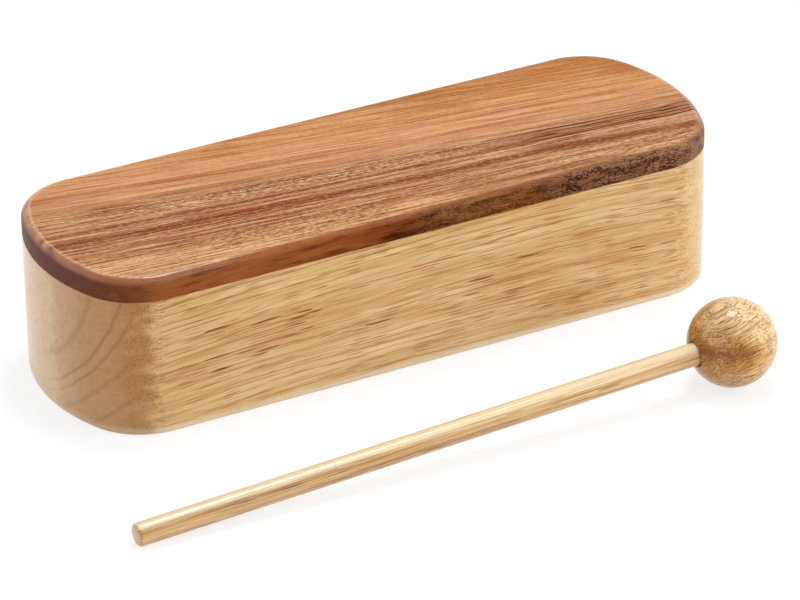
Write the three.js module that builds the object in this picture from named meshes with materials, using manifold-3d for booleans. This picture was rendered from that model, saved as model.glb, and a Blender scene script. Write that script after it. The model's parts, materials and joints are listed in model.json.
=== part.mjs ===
// A wood block with its beater, in millimetres. +Z is up, +X runs along the block and -Y is its front.
// The origin is the centre of the block's flat underside.
//
// The block is two pieces glued together and sanded flush: a pale body with a resonance chamber
// milled into its back, and a dark striking plate that closes the chamber from above.
// The beater is a dowel glued into a drilled wooden ball, and lies in front of the block.

import * as THREE from "three";
import { mergeVertices, toCreasedNormals } from "three/addons/utils/BufferGeometryUtils.js";
import Module from "manifold-3d";

const wasm = await Module();
wasm.setup();

// The block's outline from above, shared by body and plate
const blockLength = 240;
const blockWidth = 81;
const cornerRadius = 23.5; // the four upright corners
const endRadius = 67; // the crown of each end

// Heights and edges
const bodyHeight = 48.8;
const plateThickness = 8.2;
const plateRound = 3.5; // cutter radius of the plate's upper edge
const plateArrisTurn = THREE.MathUtils.degToRad(80); // the flat top stops the round short of 90
const seamEase = 0.35; // sanded arris on both sides of the glue line
const footRound = 1.5;

// The resonance chamber, open at the back and closed above by the plate
const chamberHeight = 14;
const chamberEndWall = 30; // wood left at each end of the block
const chamberFrontWall = 16;
const chamberCutterRadius = 10;
const mouthRound = 1.5;

// The beater
const ballDiameter = 30;
const shaftDiameter = 7.8;
const shaftLength = 218.7;
const socketDepth = 18;
const socketEase = 0.4;
const glueGap = 0.3; // around the shaft in its socket, and at the bottom
const buttRound = 1.2;
const shaftHeadChamfer = 0.6;

// Where the beater lies
const ballStation = 80.5; // from the block's middle, along its length
const ballReach = 60.4; // from the block's front face to the ball's centre
const beaterSwing = THREE.MathUtils.degToRad(-0.5); // the shaft is all but parallel to the block

// How far a cutter runs past the face that it opens
const overrun = 5;

// Facets
const crownSteps = 12;
const cornerSteps = 10;
const edgeSteps = 6;
const ballSteps = 12;
const turnSteps = 40;
const creaseAngle = THREE.MathUtils.degToRad(25);

// The block seen from above, drawn in by inset on every side: crowned ends, rounded corners and
// straight long sides. Every arc keeps its centre, so outlines of any inset match point for point.
function blockOutline(inset) {
  const corner = cornerRadius - inset;
  const crown = endRadius - inset;
  const crownX = blockLength / 2 - endRadius;
  const cornerY = blockWidth / 2 - cornerRadius;
  const cornerX = crownX + Math.sqrt((crown - corner) ** 2 - cornerY ** 2);
  const meet = Math.atan2(cornerY, cornerX - crownX); // where a crown runs into its corners
  const arc = (x, y, radius, from, to, steps) =>
    new THREE.EllipseCurve(x, y, radius, radius, from, to).getPoints(steps);
  return [
    ...arc(crownX, 0, crown, -meet, meet, crownSteps),
    ...arc(cornerX, cornerY, corner, meet, Math.PI / 2, cornerSteps).slice(1),
    ...arc(-cornerX, cornerY, corner, Math.PI / 2, Math.PI - meet, cornerSteps),
    ...arc(-crownX, 0, crown, Math.PI - meet, Math.PI + meet, crownSteps).slice(1),
    ...arc(-cornerX, -cornerY, corner, Math.PI + meet, Math.PI * 1.5, cornerSteps).slice(1),
    ...arc(cornerX, -cornerY, corner, Math.PI * 1.5, Math.PI * 2 - meet, cornerSteps).slice(0, -1),
  ];
}

// A closed solid through convex rings of equal length, with a fan over the first and the last.
function loft(rings) {
  const size = rings[0].length;
  const points = rings.flat();
  const index = [];
  for (let ring = 0; ring < rings.length - 1; ring++) {
    for (let i = 0; i < size; i++) {
      const here = ring * size + i;
      const next = ring * size + ((i + 1) % size);
      index.push(here, next, next + size, here, next + size, here + size);
    }
  }
  const cap = (ring, facesUp) => {
    const hub = points.length;
    const middle = new THREE.Vector3();
    rings[ring].forEach((point) => middle.addScaledVector(point, 1 / size));
    points.push(middle);
    for (let i = 0; i < size; i++) {
      const here = ring * size + i;
      const next = ring * size + ((i + 1) % size);
      index.push(...(facesUp ? [here, next, hub] : [next, here, hub]));
    }
  };
  cap(0, false);
  cap(rings.length - 1, true);
  return new THREE.BufferGeometry().setFromPoints(points).setIndex(index);
}

// An edge profile taken round the block's outline: each level is an inset at a height.
function sweepRoundBlock(levels) {
  return loft(
    levels.map(({ inset, height }) =>
      blockOutline(inset).map((point) => new THREE.Vector3(point.x, point.y, height)),
    ),
  );
}

// Levels of a round that leaves an upright side and turns inwards as it rises.
function roundOver(radius, turn, topHeight) {
  const springHeight = topHeight - radius * Math.sin(turn);
  return Array.from({ length: edgeSteps + 1 }, (_, step) => {
    const angle = (turn * step) / edgeSteps;
    return {
      inset: radius * (1 - Math.cos(angle)),
      height: springHeight + radius * Math.sin(angle),
    };
  });
}

// Solids for cutting
function solidFrom(geometry) {
  const bare = geometry.clone();
  bare.deleteAttribute("normal");
  bare.deleteAttribute("uv");
  const merged = mergeVertices(bare);
  return new wasm.Manifold(
    new wasm.Mesh({
      numProp: 3,
      vertProperties: merged.attributes.position.array,
      triVerts: new Uint32Array(merged.index.array),
    }),
  );
}

function geometryFrom(solid) {
  const mesh = solid.getMesh();
  return new THREE.BufferGeometry()
    .setAttribute("position", new THREE.BufferAttribute(mesh.vertProperties, 3))
    .setIndex(new THREE.BufferAttribute(mesh.triVerts, 1));
}

// The chamber in plan, from its front wall to past the block's back, with the inner corners that
// a round cutter leaves, and as high as the body is open.
const chamberFloor = bodyHeight - chamberHeight;
const chamberHalfLength = blockLength / 2 - chamberEndWall;

function chamberCutter() {
  const front = -blockWidth / 2 + chamberFrontWall;
  const back = blockWidth / 2 + overrun;
  const cornerX = chamberHalfLength - chamberCutterRadius;
  const cornerY = front + chamberCutterRadius;
  const plan = new THREE.Shape();
  plan.moveTo(chamberHalfLength, back);
  plan.lineTo(-chamberHalfLength, back);
  plan.absarc(-cornerX, cornerY, chamberCutterRadius, Math.PI, Math.PI * 1.5);
  plan.absarc(cornerX, cornerY, chamberCutterRadius, Math.PI * 1.5, Math.PI * 2);
  plan.closePath();
  const cutter = new THREE.ExtrudeGeometry(plan, {
    depth: chamberHeight + overrun,
    bevelEnabled: false,
    curveSegments: edgeSteps,
  });
  return cutter.translate(0, 0, chamberFloor);
}

// The mouth's lips are rounded over: the opening grows along a quarter circle towards the back.
function mouthCutter() {
  const roundStart = blockWidth / 2 - mouthRound;
  const levels = Array.from({ length: edgeSteps + 1 }, (_, step) => {
    const angle = ((Math.PI / 2) * step) / edgeSteps;
    return {
      y: roundStart + mouthRound * Math.sin(angle),
      grow: mouthRound * (1 - Math.cos(angle)),
    };
  });
  levels.push({ y: blockWidth / 2 + overrun, grow: mouthRound });
  return loft(
    levels.map(({ y, grow }) => {
      const side = chamberHalfLength + grow;
      const floor = chamberFloor - grow;
      const top = bodyHeight + overrun;
      return [
        new THREE.Vector3(-side, y, floor),
        new THREE.Vector3(-side, y, top),
        new THREE.Vector3(side, y, top),
        new THREE.Vector3(side, y, floor),
      ];
    }),
  );
}

function resonatorBody() {
  const footHeights = roundOver(footRound, Math.PI / 2, footRound).reverse();
  const foot = footHeights.map(({ inset, height }) => ({ inset, height: footRound - height }));
  const billet = sweepRoundBlock([
    ...foot,
    { inset: 0, height: bodyHeight - seamEase },
    { inset: seamEase, height: bodyHeight },
  ]);
  const milled = solidFrom(billet)
    .subtract(solidFrom(chamberCutter()))
    .subtract(solidFrom(mouthCutter()));
  return geometryFrom(milled);
}

function strikingPlate() {
  return sweepRoundBlock([
    { inset: seamEase, height: bodyHeight },
    { inset: 0, height: bodyHeight + seamEase },
    ...roundOver(plateRound, plateArrisTurn, bodyHeight + plateThickness),
  ]);
}

// The beater's pieces are turned on the X axis, with the ball's centre at zero.
const ballRadius = ballDiameter / 2;
const shaftRadius = shaftDiameter / 2;
const socketBottom = socketDepth - ballRadius;
const shaftHead = socketBottom - glueGap;
const shaftButt = shaftHead - shaftLength;

function turned(profile) {
  return new THREE.LatheGeometry(profile, turnSteps).rotateZ(-Math.PI / 2);
}

function beaterBall() {
  const socketRadius = shaftRadius + glueGap;
  const mouthRadius = socketRadius + socketEase;
  const mouthTurn = Math.acos(mouthRadius / ballRadius);
  const profile = new THREE.Path();
  profile.moveTo(0, socketBottom);
  profile.lineTo(socketRadius, socketBottom);
  profile.lineTo(socketRadius, socketEase - ballRadius * Math.sin(mouthTurn));
  profile.absarc(0, 0, ballRadius, -mouthTurn, Math.PI / 2);
  return turned(profile.getPoints(ballSteps));
}

function beaterShaft() {
  const profile = new THREE.Path();
  profile.moveTo(0, shaftButt);
  profile.lineTo(shaftRadius - buttRound, shaftButt);
  profile.absarc(shaftRadius - buttRound, shaftButt + buttRound, buttRound, -Math.PI / 2, 0);
  profile.lineTo(shaftRadius, shaftHead - shaftHeadChamfer);
  profile.lineTo(shaftRadius - shaftHeadChamfer, shaftHead);
  profile.lineTo(0, shaftHead);
  return turned(profile.getPoints(edgeSteps / 2));
}

// The beater rests on its ball and on the round of its butt end: the tilt at which both touch.
function restingTilt() {
  const along = -shaftButt - buttRound;
  const across = shaftRadius - buttRound;
  const drop = ballRadius - buttRound;
  return Math.asin(drop / Math.hypot(along, across)) - Math.atan2(across, along);
}

function piece(name, geometry, material) {
  const mesh = new THREE.Mesh(toCreasedNormals(geometry, creaseAngle), material);
  mesh.name = name;
  return mesh;
}

const paleHardwood = new THREE.MeshStandardMaterial({ color: 0xe0b97f, roughness: 0.42, metalness: 0 });
const streakedHardwood = new THREE.MeshStandardMaterial({ color: 0xb8703f, roughness: 0.36, metalness: 0 });
const dowelWood = new THREE.MeshStandardMaterial({ color: 0xe2bd86, roughness: 0.38, metalness: 0 });
const ballWood = new THREE.MeshStandardMaterial({ color: 0xc8935a, roughness: 0.32, metalness: 0 });

const beater = new THREE.Group();
beater.name = "beater";
beater.position.set(ballStation, -blockWidth / 2 - ballReach, ballRadius);
beater.rotation.set(0, -restingTilt(), beaterSwing, "ZYX");
beater.add(
  piece("beater_shaft", beaterShaft(), dowelWood),
  piece("beater_ball", beaterBall(), ballWood),
);

const woodBlock = new THREE.Group();
woodBlock.name = "wood_block";
woodBlock.add(
  piece("resonator_body", resonatorBody(), paleHardwood),
  piece("striking_plate", strikingPlate(), streakedHardwood),
  beater,
);

export default woodBlock;
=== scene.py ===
# %% [markdown]
# # A wood block and its beater
# This lesson dresses a finished construction model. The block is two pieces of hardwood glued together
# and sanded flush. The beater is a dowel in a drilled wooden ball, and it lies loose in front.
# The construction gives every size, so the first step loads it.

# %% Load the construction
import json
from math import asin, atan2, cos, degrees, hypot, pi, radians, sin, sqrt
from types import SimpleNamespace

import bmesh
import bpy
from mathutils import Matrix, Vector

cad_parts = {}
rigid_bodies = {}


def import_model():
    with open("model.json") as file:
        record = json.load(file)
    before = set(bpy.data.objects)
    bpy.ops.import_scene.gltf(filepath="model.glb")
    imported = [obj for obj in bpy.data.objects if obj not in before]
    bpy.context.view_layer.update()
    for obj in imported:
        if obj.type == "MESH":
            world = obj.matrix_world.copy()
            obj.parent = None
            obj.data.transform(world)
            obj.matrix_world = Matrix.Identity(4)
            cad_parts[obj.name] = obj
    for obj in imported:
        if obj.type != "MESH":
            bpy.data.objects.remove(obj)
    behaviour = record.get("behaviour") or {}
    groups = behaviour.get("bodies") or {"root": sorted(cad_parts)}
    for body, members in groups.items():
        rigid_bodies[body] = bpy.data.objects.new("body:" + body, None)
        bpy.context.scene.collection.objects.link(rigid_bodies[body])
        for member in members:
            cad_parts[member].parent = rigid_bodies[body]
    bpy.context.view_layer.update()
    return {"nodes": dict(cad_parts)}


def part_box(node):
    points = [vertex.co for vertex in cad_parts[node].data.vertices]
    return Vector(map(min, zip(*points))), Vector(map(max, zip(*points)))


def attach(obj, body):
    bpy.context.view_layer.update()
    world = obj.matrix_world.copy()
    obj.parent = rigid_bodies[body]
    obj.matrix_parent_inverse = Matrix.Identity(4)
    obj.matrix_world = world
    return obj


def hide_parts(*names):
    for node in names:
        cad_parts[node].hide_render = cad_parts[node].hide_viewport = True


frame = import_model()
print("pieces of the construction:", sorted(frame["nodes"]))

# %% [markdown]
# ## Sizes
# Lengths are written in millimetres and turned into metres by one unit. What the construction can tell
# is read from it: the block's length, width and glue line. The radii are the cutters of the real piece.

# %% Sizes of the block and the beater
MM = 0.001
body_low, body_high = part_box("resonator_body")
plate_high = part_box("striking_plate")[1]
ball_low, ball_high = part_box("beater_ball")

BLOCK_LENGTH = body_high.x - body_low.x
BLOCK_WIDTH = body_high.y - body_low.y
GLUE_HEIGHT = body_high.z
TOP_HEIGHT = plate_high.z
CORNER_RADIUS = 23.5 * MM  # the four upright corners
END_RADIUS = 67 * MM  # the crown of each end
print("block", [round(size / MM, 1) for size in (BLOCK_LENGTH, BLOCK_WIDTH, GLUE_HEIGHT, TOP_HEIGHT)], "mm")

# %% [markdown]
# ## The camera
# The viewing angle was worked out from the block's outline: a long lens, a step away and above.
# A long lens keeps the long edges almost parallel. Three angles turn the camera, and a matrix with the
# camera's right, up and back directions as its columns is the plainest way to aim it exactly.

# %% Camera at the photograph's viewing angle
LENS = 220.709  # for a frame 36 mm wide
CAMERA_PLACE = Vector((-675.0, -1292.5, 786.2)) * MM
CAMERA_TURN = radians(-27.97)
CAMERA_DIP = radians(28.19)
CAMERA_ROLL = radians(-0.767)


def add_camera():
    right = Vector((cos(CAMERA_TURN), sin(CAMERA_TURN), 0))
    back = Vector((sin(CAMERA_TURN) * cos(CAMERA_DIP), -cos(CAMERA_TURN) * cos(CAMERA_DIP), sin(CAMERA_DIP)))
    up = back.cross(right)
    rolled_right = right * cos(CAMERA_ROLL) + up * sin(CAMERA_ROLL)
    rolled_up = up * cos(CAMERA_ROLL) - right * sin(CAMERA_ROLL)
    camera = bpy.data.objects.new("camera", bpy.data.cameras.new("camera"))
    camera.data.lens = LENS
    axes = Matrix((rolled_right, rolled_up, back)).transposed()
    camera.matrix_world = Matrix.Translation(CAMERA_PLACE) @ axes.to_4x4()
    bpy.context.collection.objects.link(camera)
    return camera


bpy.context.scene.camera = add_camera()
bpy.context.scene.view_settings.view_transform = "Standard"
print("camera", round(CAMERA_PLACE.length, 2), "m from the block's foot")

# %% [markdown]
# ## A white studio
# The object stands in a plain white studio. More light would bleach the wood, so the white comes from
# the rays instead: what the camera or a gloss sees is white, and what lights the wood is a calm grey.
# The floor keeps part of its brightness as real diffuse light, and so it still takes a soft shadow.

# %% White for the rays that look, calm light for the rays that light
def seen_directly(tree):
    """1 for a ray from the camera, a reflection or glass, and 0 for a ray of soft light."""
    path = tree.nodes.new("ShaderNodeLightPath")
    seen = path.outputs["Is Camera Ray"]
    for ray in ("Is Glossy Ray", "Is Transmission Ray"):
        either = tree.nodes.new("ShaderNodeMath")
        either.operation = "MAXIMUM"
        tree.links.new(seen, either.inputs[0])
        tree.links.new(path.outputs[ray], either.inputs[1])
        seen = either.outputs[0]
    return seen


def add_world(soft_light, white):
    world = bpy.data.worlds.new("white_studio")
    world.use_nodes = True
    tree = world.node_tree
    strength = tree.nodes.new("ShaderNodeMapRange")
    strength.inputs["To Min"].default_value = soft_light
    strength.inputs["To Max"].default_value = white
    tree.links.new(seen_directly(tree), strength.inputs["Value"])
    tree.nodes["Background"].inputs["Color"].default_value = (1, 1, 1, 1)
    tree.links.new(strength.outputs["Result"], tree.nodes["Background"].inputs["Strength"])
    bpy.context.scene.world = world


SOFT_LIGHT = 0.50
WHITE = 1.0
add_world(SOFT_LIGHT, WHITE)
print("the world lights at", SOFT_LIGHT, "and looks", WHITE)

# %% [markdown]
# The floor is one wide sheet. For the looking rays it is part matt white, which takes the shadow, and
# part glow, which lifts the rest to white. For all other rays it is a pale matt sheet.

# %% Floor
FLOOR_REACH = 6.0
FLOOR_MATT_SHARE = 0.34
FLOOR_GLOW = 0.74
FLOOR_TONE = 0.84


def add_floor():
    shape = bmesh.new()
    bmesh.ops.create_grid(shape, x_segments=1, y_segments=1, size=FLOOR_REACH)
    floor = bpy.data.objects.new("floor", bpy.data.meshes.new("floor"))
    shape.to_mesh(floor.data)
    shape.free()
    bpy.context.collection.objects.link(floor)
    return floor


def floor_finish():
    finish = bpy.data.materials.new("floor_white")
    finish.use_nodes = True
    tree = finish.node_tree
    tree.nodes.clear()
    matt = tree.nodes.new("ShaderNodeBsdfDiffuse")
    matt.inputs["Color"].default_value = (FLOOR_TONE, FLOOR_TONE, FLOOR_TONE, 1)
    shaded = tree.nodes.new("ShaderNodeBsdfDiffuse")
    shaded.inputs["Color"].default_value = (FLOOR_MATT_SHARE, FLOOR_MATT_SHARE, FLOOR_MATT_SHARE, 1)
    glow = tree.nodes.new("ShaderNodeEmission")
    glow.inputs["Strength"].default_value = FLOOR_GLOW
    seen = tree.nodes.new("ShaderNodeAddShader")
    tree.links.new(shaded.outputs[0], seen.inputs[0])
    tree.links.new(glow.outputs[0], seen.inputs[1])
    choose = tree.nodes.new("ShaderNodeMixShader")
    tree.links.new(seen_directly(tree), choose.inputs[0])
    tree.links.new(matt.outputs[0], choose.inputs[1])
    tree.links.new(seen.outputs[0], choose.inputs[2])
    output = tree.nodes.new("ShaderNodeOutputMaterial")
    tree.links.new(choose.outputs[0], output.inputs["Surface"])
    return finish


floor = add_floor()
floor.data.materials.append(floor_finish())
print("floor", 2 * FLOOR_REACH, "m wide")

# %% [markdown]
# ## Lamps
# The small bright spot on the ball and the white line along the dowel tell where the main lamp is:
# straight above and a little behind. The pale right-hand corner tells of a second, larger one on the
# right, in front. A third and weaker one lifts the left end. All are soft boxes, so their spots have
# soft edges, and all aim at the middle of the block.

# %% Soft boxes
BLOCK_MIDDLE = Vector((0, 0, GLUE_HEIGHT / 2))
# Each lamp: its name, place and width in metres, and its power in watts
LAMPS = [
    ("lamp_above", (0.21, 0.15, 1.15), 0.36, 5.2),
    ("lamp_left", (-1.4, 0.5, 0.7), 1.0, 3.2),
    ("lamp_right", (1.35, -1.35, 0.85), 1.4, 19.5),
]


def add_soft_box(name, place, width, power):
    lamp = bpy.data.objects.new(name, bpy.data.lights.new(name, "AREA"))
    lamp.data.shape = "SQUARE"
    lamp.data.size = width
    lamp.data.energy = power
    lamp.location = place
    lamp.rotation_euler = (BLOCK_MIDDLE - place).to_track_quat("-Z", "Y").to_euler()
    bpy.context.collection.objects.link(lamp)


for name, place, width, power in LAMPS:
    add_soft_box(name, Vector(place), width, power)
    print(name, round((Vector(place) - BLOCK_MIDDLE).length, 2), "m away")

# %% [markdown]
# ## Shapes from rings
# Each piece is a stack of rings: the same outline again and again, a little smaller or larger, at
# another height. Joining ring to ring gives clean bands of four-sided faces. A solid tool such as a
# cube with a bevel can't follow these crowned ends as well. Edges that turn more than a little stay
# crisp, and the others are shaded round.

# %% From rings to a piece
CRISP_TURN = radians(28)


def loft(rings, closed_ends=True):
    """A bmesh of bands between rings. A ring of one point is a tip, and its band is made of triangles."""
    shape = bmesh.new()
    loops = [[shape.verts.new(point) for point in ring] for ring in rings]
    steps = max(len(loop) for loop in loops)
    for lower, upper in zip(loops, loops[1:]):
        for i in range(steps):
            here = (lower[i % len(lower)], upper[i % len(upper)])
            after = (lower[(i + 1) % len(lower)], upper[(i + 1) % len(upper)])
            corners = (here[0], after[0], after[1], here[1])
            shape.faces.new(list(dict.fromkeys(corners)))
    if closed_ends:
        shape.faces.new(list(reversed(loops[0])))
        shape.faces.new(loops[-1])
    bmesh.ops.recalc_face_normals(shape, faces=shape.faces)
    return shape


def make_piece(name, shape):
    """An object from a bmesh, round where it is round and crisp where it turns."""
    for face in shape.faces:
        face.smooth = True
    for edge in shape.edges:
        edge.smooth = edge.calc_face_angle(0) < CRISP_TURN
    piece = bpy.data.objects.new(name, bpy.data.meshes.new(name))
    shape.to_mesh(piece.data)
    shape.free()
    bpy.context.collection.objects.link(piece)
    flat_first = piece.modifiers.new("flats_stay_flat", "WEIGHTED_NORMAL")
    flat_first.keep_sharp = True
    return piece


print("edges that turn by more than", round(degrees(CRISP_TURN)), "degrees stay crisp")

# %% [markdown]
# ## The block's outline
# Seen from above, each end is a shallow crown of one large radius that runs into two corners of a
# smaller one without a kink. All arcs keep their centres when the outline is drawn in, just as a
# cutter that follows the edge keeps its distance.

# %% Outline of the block, drawn in by an inset
CROWN_STEPS = 24
CORNER_STEPS = 20
SIDE_STEPS = 24


def arc(x, y, radius, start, end, steps):
    turns = [start + (end - start) * i / steps for i in range(steps + 1)]
    return [(x + radius * cos(turn), y + radius * sin(turn)) for turn in turns]


def block_outline(inset):
    corner, crown = CORNER_RADIUS - inset, END_RADIUS - inset
    crown_x = BLOCK_LENGTH / 2 - END_RADIUS
    corner_y = BLOCK_WIDTH / 2 - CORNER_RADIUS
    corner_x = crown_x + sqrt((crown - corner) ** 2 - corner_y**2)
    meet = atan2(corner_y, corner_x - crown_x)
    side = [corner_x - 2 * corner_x * i / SIDE_STEPS for i in range(1, SIDE_STEPS)]
    edge_y = corner_y + corner
    return [
        *arc(crown_x, 0, crown, -meet, meet, CROWN_STEPS),
        *arc(corner_x, corner_y, corner, meet, pi / 2, CORNER_STEPS)[1:],
        *[(x, edge_y) for x in side],
        *arc(-corner_x, corner_y, corner, pi / 2, pi - meet, CORNER_STEPS),
        *arc(-crown_x, 0, crown, pi - meet, pi + meet, CROWN_STEPS)[1:],
        *arc(-corner_x, -corner_y, corner, pi + meet, 1.5 * pi, CORNER_STEPS)[1:],
        *[(-x, -edge_y) for x in side],
        *arc(corner_x, -corner_y, corner, 1.5 * pi, 2 * pi - meet, CORNER_STEPS)[:-1],
    ]


def block_ring(inset, height):
    return [Vector((x, y, height)) for x, y in block_outline(inset)]


print("outline of", len(block_outline(0)), "points")

# %% [markdown]
# ## The body and its chamber
# The body is one billet of pale wood. Its foot is rounded a little and its upper arris is only
# broken by sandpaper, because the plate is glued on there. Rings of the outline, drawn in along a
# quarter turn, make the rounded foot.

# %% Billet
FOOT_ROUND = 1.5 * MM
SEAM_EASE = 0.18 * MM
ROUND_STEPS = 8


def quarter_turns(steps=ROUND_STEPS):
    return [pi / 2 * i / steps for i in range(steps + 1)]


def billet_rings():
    foot = [
        block_ring(FOOT_ROUND * (1 - sin(turn)), FOOT_ROUND * (1 - cos(turn))) for turn in quarter_turns()
    ]
    side_levels = [FOOT_ROUND + (GLUE_HEIGHT - FOOT_ROUND) * i / ROUND_STEPS for i in range(1, ROUND_STEPS)]
    sides = [block_ring(0, height) for height in side_levels]
    return [*foot, *sides, block_ring(0, GLUE_HEIGHT - SEAM_EASE), block_ring(SEAM_EASE, GLUE_HEIGHT)]


print("billet of", len(billet_rings()), "rings")

# %% [markdown]
# The chamber is milled from the back, right under the plate. A round cutter can't leave square inner
# corners, so the pocket's front corners follow its radius, and the lips of the mouth are rounded
# over. One shape, a stack of upright sections from front to back, stands for all that the cutter
# takes away. It runs past the billet at the top and the back, so that no thin skin is left.

# %% What the cutter takes away
CHAMBER_HEIGHT = 14 * MM
CHAMBER_END_WALL = 30 * MM
CHAMBER_FRONT_WALL = 16 * MM
CUTTER_RADIUS = 10 * MM
CUTTER_NOSE = 0.8 * MM  # the small radius that the cutter's tip leaves along the floor
MOUTH_ROUND = 1.5 * MM
OVERRUN = 5 * MM

chamber_floor = GLUE_HEIGHT - CHAMBER_HEIGHT
chamber_half = BLOCK_LENGTH / 2 - CHAMBER_END_WALL
chamber_front = -BLOCK_WIDTH / 2 + CHAMBER_FRONT_WALL
block_back = BLOCK_WIDTH / 2


def pocket_section(y, half, floor_height):
    """The pocket cut across: upright walls, a flat floor and the cutter's nose between them."""
    top = GLUE_HEIGHT + OVERRUN
    nose = quarter_turns(ROUND_STEPS // 2)
    right = [
        (half - CUTTER_NOSE * (1 - cos(turn)), floor_height + CUTTER_NOSE * (1 - sin(turn))) for turn in nose
    ]
    left = [(-x, z) for x, z in reversed(right)]
    return [Vector((x, y, z)) for x, z in [(half, top), *right, *left, (-half, top)]]


def pocket_sections():
    corner = [
        (chamber_front + CUTTER_RADIUS * (1 - cos(turn)), CUTTER_RADIUS * (1 - sin(turn)))
        for turn in quarter_turns(2 * ROUND_STEPS)
    ]
    sections = [pocket_section(y, chamber_half - drawn_in, chamber_floor) for y, drawn_in in corner]
    for turn in quarter_turns():
        flare = MOUTH_ROUND * (1 - cos(turn))
        y = block_back - MOUTH_ROUND * (1 - sin(turn))
        sections.append(pocket_section(y, chamber_half + flare, chamber_floor - flare))
    last = pocket_section(block_back + OVERRUN, chamber_half + MOUTH_ROUND, chamber_floor - MOUTH_ROUND)
    return [*sections, last]


print("pocket", round(2 * chamber_half / MM), "mm long and", round(CHAMBER_HEIGHT / MM), "mm high")

# %% [markdown]
# A boolean subtracts the pocket from the billet, just as the cutter does. Both are plain helpers that
# are removed again, and only the milled shape is kept. The exact solver copes best with faces that
# run along each other.

# %% Subtract the pocket from the billet
def plain_object(name, shape):
    carrier = bpy.data.objects.new(name, bpy.data.meshes.new(name))
    shape.to_mesh(carrier.data)
    shape.free()
    bpy.context.collection.objects.link(carrier)
    return carrier


def milled_body():
    billet = plain_object("billet", loft(billet_rings()))
    pocket = plain_object("pocket", loft(pocket_sections()))
    cut = billet.modifiers.new("mill", "BOOLEAN")
    cut.operation = "DIFFERENCE"
    cut.solver = "EXACT"
    cut.object = pocket
    bpy.context.view_layer.update()
    shape = bmesh.new()
    shape.from_object(billet, bpy.context.evaluated_depsgraph_get())
    for tool in (billet, pocket):
        bpy.data.objects.remove(tool)
    return shape


body = make_piece("block_body", milled_body())
print("body:", len(body.data.polygons), "faces")

# %% [markdown]
# ## The striking plate
# The plate closes the chamber. Its upper edge was taken off with a rounding cutter that ran a little
# shallow, so a crisp line is left where the flat top begins. Varnish is thin on such a line, and the
# finish paints it pale: partly wear, and partly a painted highlight. A number on each point says how
# near it is to that line, and the finish uses it later.

# %% Plate
PLATE_ROUND = 3.5 * MM
PLATE_ROUND_TURN = radians(80)
PLATE_ROUND_STEPS = 14
ARRIS_LINE = "arris_line"
NEARNESS_STEP = 0.6  # how much less near to the line each lower ring counts
LINE_FADES = [(0.35 * MM, 0.3), (0.8 * MM, 0.0)]  # how far in on the top, and how near it counts


def plate_rings():
    """Rings from the glue line up over the round to the flat top, and how near each is to the arris."""
    spring = TOP_HEIGHT - PLATE_ROUND * sin(PLATE_ROUND_TURN)
    rings = [
        (block_ring(SEAM_EASE, GLUE_HEIGHT), 0),
        (block_ring(0, GLUE_HEIGHT + SEAM_EASE), 0),
        (block_ring(0, (GLUE_HEIGHT + spring) / 2), 0),
    ]
    for step in range(PLATE_ROUND_STEPS + 1):
        turn = PLATE_ROUND_TURN * step / PLATE_ROUND_STEPS
        drawn_in = PLATE_ROUND * (1 - cos(turn))
        nearness = max(0, 1 - NEARNESS_STEP * (PLATE_ROUND_STEPS - step))
        rings.append((block_ring(drawn_in, spring + PLATE_ROUND * sin(turn)), nearness))
    for reach, nearness in LINE_FADES:
        rings.append((block_ring(drawn_in + reach, TOP_HEIGHT), nearness))
    return rings


def make_plate():
    rings = plate_rings()
    plate = make_piece("block_plate", loft([ring for ring, _ in rings]))
    nearness = [float(near) for ring, near in rings for _ in ring]
    line = plate.data.attributes.new(ARRIS_LINE, "FLOAT", "POINT")
    line.data.foreach_set("value", nearness)
    return plate


plate = make_plate()
print("plate:", len(plate.data.polygons), "faces")

# %% [markdown]
# ## The beater
# The beater is a dowel glued into a drilled ball. Both are measured along the dowel, with the ball's
# centre at zero: the bottom of the socket, the dowel's head just short of it, and the butt. The
# ball's size comes from the construction, and the others are the maker's.

# %% Sizes of the beater
BALL_RADIUS = (ball_high.y - ball_low.y) / 2
SHAFT_RADIUS = 3.9 * MM
SHAFT_LENGTH = 218.67 * MM
SOCKET_DEPTH = 18 * MM
SOCKET_EASE = 0.4 * MM
GLUE_GAP = 0.3 * MM
BUTT_ROUND = 1.2 * MM
SHAFT_HEAD_CHAMFER = 0.6 * MM
BEATER_SWING = radians(-0.5)

socket_bottom = SOCKET_DEPTH - BALL_RADIUS
shaft_head = socket_bottom - GLUE_GAP
shaft_butt = shaft_head - SHAFT_LENGTH
print("the dowel sits", round((shaft_head + BALL_RADIUS) / MM, 1), "mm deep in the ball")

# %% [markdown]
# Dowel and ball are turned pieces, so a profile spun round an axis makes both. The rings of such a
# spin go through the same loft as the block's rings, and a ring of one point closes each end.

# %% Turning a profile
TURN_STEPS = 96


def turned(name, profile):
    """Spins (place along the axis, radius) points round the X axis. The ends lie on the axis."""
    turns = [2 * pi * i / TURN_STEPS for i in range(TURN_STEPS)]
    rings = [
        [Vector((x, radius * cos(turn), radius * sin(turn))) for turn in (turns if radius > 0 else [0])]
        for x, radius in profile
    ]
    return make_piece(name, loft(rings, closed_ends=False))


print("turned pieces have", TURN_STEPS, "steps round")

# %% [markdown]
# The dowel's profile has a rounded butt and a small chamfer at the head, so that it finds its hole.
# The ball's profile goes into the socket, out over a small chamfer at its mouth and round the sphere
# to the far tip.

# %% Profiles of the dowel and the ball
BALL_STEPS = 44
SHAFT_STEPS = 30


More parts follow.
